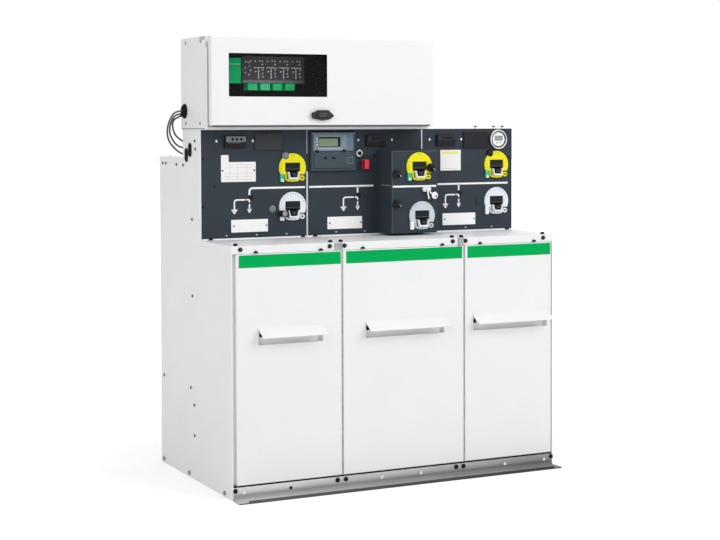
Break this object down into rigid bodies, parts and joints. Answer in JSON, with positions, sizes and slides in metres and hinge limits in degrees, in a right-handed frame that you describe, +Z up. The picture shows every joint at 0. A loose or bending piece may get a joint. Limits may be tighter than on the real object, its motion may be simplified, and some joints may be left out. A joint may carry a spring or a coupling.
{
  "type": "ring main unit",
  "caption": "Medium-voltage ring main unit: white cabinet with cable doors, dark mimic panel with rotary operating dials, motor box and a windowed control cabinet on top.",
  "frame": {"origin": "on the floor under the middle of the whole unit, cables left out", "axes": "+Z up; the doors and dials face -Y; +X to the right seen from the front"},
  "size_m": [1.2276, 0.72, 1.44],
  "materials": {
    "galvanised": "galvanised",
    "white_paint": "satin powder coat",
    "tank_steel": "satin",
    "slate_paint": "satin powder coat",
    "slate_plastic": "matte",
    "yellow_plastic": "semi-gloss",
    "white_plastic": "semi-gloss",
    "black_plastic": "matte",
    "red_plastic": "semi-gloss",
    "bright_metal": "bright",
    "seal_rubber": "matte",
    "clear_pane": "clear",
    "green_plastic": "matte",
    "cable_jacket": "matte"
  },
  "bodies": {
    "body": {"front_rail": "galvanised", "rear_rail": "galvanised", "left_partition": "galvanised", "right_partition": "galvanised", "left_side_panel": "white_paint", "right_side_panel": "white_paint", "compartment_top": "white_paint", "rear_panel": "white_paint", "top_cover": "white_paint", "housing_top": "white_paint", "housing_back": "white_paint", "left_door": "white_paint", "middle_door": "white_paint", "right_door": "white_paint", "left_door_handle": "white_paint", "middle_door_handle": "white_paint", "right_door_handle": "white_paint", "lv_left_cheek": "white_paint", "lv_right_cheek": "white_paint", "lv_top": "white_paint", "lv_bottom": "white_paint", "lv_back": "white_paint", "lv_collar": "white_paint", "tank": "tank_steel", "left_mimic_panel": "slate_paint", "middle_mimic_panel": "slate_paint", "right_mimic_panel": "slate_paint", "motor_box": "slate_paint", "relay": "slate_plastic", "relay_flap": "slate_plastic", "left_blank_cover": "slate_plastic", "right_blank_cover": "slate_plastic", "left_switch_dial": "yellow_plastic", "middle_switch_dial": "yellow_plastic", "right_switch_dial": "yellow_plastic", "left_earth_dial": "white_plastic", "middle_earth_dial": "white_plastic", "right_earth_dial": "white_plastic", "left_voltage_indicator": "black_plastic", "middle_voltage_indicator": "black_plastic", "right_voltage_indicator": "black_plastic", "pressure_gauge": "black_plastic", "lv_control_unit": "black_plastic", "ring_knob": "bright_metal", "key_lock": "bright_metal", "base_gasket": "seal_rubber", "lv_grommet": "seal_rubber", "front_oval_plug": "seal_rubber", "rear_oval_plug": "seal_rubber", "lv_connector": "green_plastic", "lv_terminals": "green_plastic", "outer_cable": "cable_jacket", "middle_cable": "cable_jacket", "inner_cable": "cable_jacket"},
    "lv_door": {"lv_door": "white_paint", "lv_window": "clear_pane"},
    "lv_latch": {"lv_latch": "black_plastic"},
    "trip_button": {"trip_button": "red_plastic"}
  },
  "joints": [
    {"name": "lv_door_hinge", "type": "hinge", "parent": "body", "child": "lv_door", "pos_m": [-0.1845, -0.101, 1.428], "axis": [-1, 0, 0], "range_deg": [0, 90]},
    {"name": "lv_latch_turn", "type": "hinge", "parent": "lv_door", "child": "lv_latch", "pos_m": [-0.1986, -0.134, 1.188], "axis": [0, -1, 0], "range_deg": [0, 90]},
    {"name": "trip_button_push", "type": "slide", "parent": "body", "child": "trip_button", "axis": [0, 1, 0], "range_m": [0, 0.004], "stiffness_N_per_m": 600}
  ]
}
